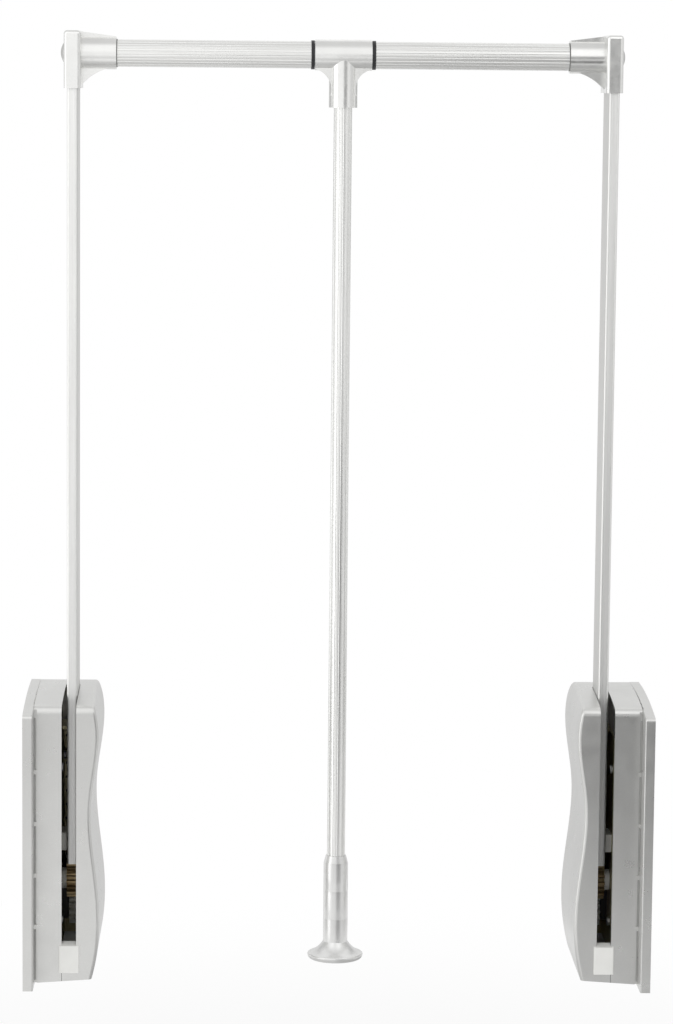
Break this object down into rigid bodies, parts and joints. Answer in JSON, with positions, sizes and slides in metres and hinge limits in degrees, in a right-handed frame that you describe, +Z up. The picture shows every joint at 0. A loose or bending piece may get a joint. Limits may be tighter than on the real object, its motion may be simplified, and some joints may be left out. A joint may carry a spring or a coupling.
{
  "type": "pull down closet rod",
  "caption": "Wardrobe lift: a fluted hanging rail on sprung arms that swing down out of two wall housings, with a pull rod hanging from a swivelling tee.",
  "frame": {"origin": "midway between the two wall plates, on the level of their lower edges and mid-depth", "axes": "+X along the rail from the left housing to the right one as seen from the front, +Y from front to back, +Z up"},
  "size_m": [0.564, 0.16, 0.855],
  "materials": {
    "silver_housing": "silver painted ABS, fine satin",
    "plated_zinc": "satin plated",
    "silver_handle": "silver painted, satin",
    "aluminium": "anodised",
    "white_nylon": "moulded",
    "dark_nylon": "moulded",
    "black_ring": "moulded",
    "yellow_zinc": "yellow zinc plated steel",
    "steel": "zinc plated",
    "dark_steel": "oiled black"
  },
  "bodies": {
    "housings": {"left_wall_plate": "silver_housing", "left_outer_cover": "silver_housing", "left_inner_cover": "silver_housing", "left_cover_screws": "steel", "left_chassis": "steel", "left_chassis_screws": "steel", "left_pivot_axle": "steel", "left_axle_clip": "dark_steel", "left_arm_guides": "white_nylon", "left_rack_guide": "dark_nylon", "left_lift_spring": "dark_steel", "left_damper_body": "dark_steel", "left_bumper": "white_nylon", "right_wall_plate": "silver_housing", "right_outer_cover": "silver_housing", "right_inner_cover": "silver_housing", "right_cover_screws": "steel", "right_chassis": "steel", "right_chassis_screws": "steel", "right_pivot_axle": "steel", "right_axle_clip": "dark_steel", "right_arm_guides": "white_nylon", "right_rack_guide": "dark_nylon", "right_lift_spring": "dark_steel", "right_damper_body": "dark_steel", "right_bumper": "white_nylon"},
    "swing_frame": {"left_arm_lever": "yellow_zinc", "left_arm_tube": "aluminium", "left_arm_rivets": "steel", "left_pivot_bushes": "white_nylon", "left_elbow": "plated_zinc", "left_elbow_screw": "steel", "left_elbow_cap": "plated_zinc", "left_rail_tube": "aluminium", "left_rail_plug": "dark_nylon", "left_rail_ring": "black_ring", "right_arm_lever": "yellow_zinc", "right_arm_tube": "aluminium", "right_arm_rivets": "steel", "right_pivot_bushes": "white_nylon", "right_elbow": "plated_zinc", "right_elbow_screw": "steel", "right_elbow_cap": "plated_zinc", "right_rail_tube": "aluminium", "right_rail_plug": "dark_nylon", "right_rail_ring": "black_ring", "rail_core": "steel"},
    "pull_handle": {"tee": "plated_zinc", "tee_screw": "dark_steel", "pull_rod": "aluminium", "grip": "silver_handle", "knob": "silver_handle"},
    "left_rack_body": {"left_rack": "white_nylon", "left_damper_rod": "steel"},
    "right_rack_body": {"right_rack": "white_nylon", "right_damper_rod": "steel"}
  },
  "joints": [
    {"name": "swing", "type": "hinge", "parent": "housings", "child": "swing_frame", "pos_m": [0, 0.004, 0.085], "axis": [1, 0, 0], "range_deg": [0, 110], "stiffness_Nm_per_rad": 9, "springref_deg": -57.3},
    {"name": "tee_swivel", "type": "hinge", "parent": "swing_frame", "child": "pull_handle", "pos_m": [0, 0.004, 0.8354], "axis": [1, 0, 0], "continuous": true},
    {"name": "left_rack_slide", "type": "slide", "parent": "housings", "child": "left_rack_body", "axis": [0, 0, 1], "range_m": [0, 0.0308], "deforming": ["left_lift_spring"]},
    {"name": "right_rack_slide", "type": "slide", "parent": "housings", "child": "right_rack_body", "axis": [0, 0, 1], "range_m": [0, 0.0308], "deforming": ["right_lift_spring"]}
  ],
  "couplings": [
    {"joint": "left_rack_slide", "follows": "swing", "m_per_rad": 0.016},
    {"joint": "right_rack_slide", "follows": "swing", "m_per_rad": 0.016}
  ]
}
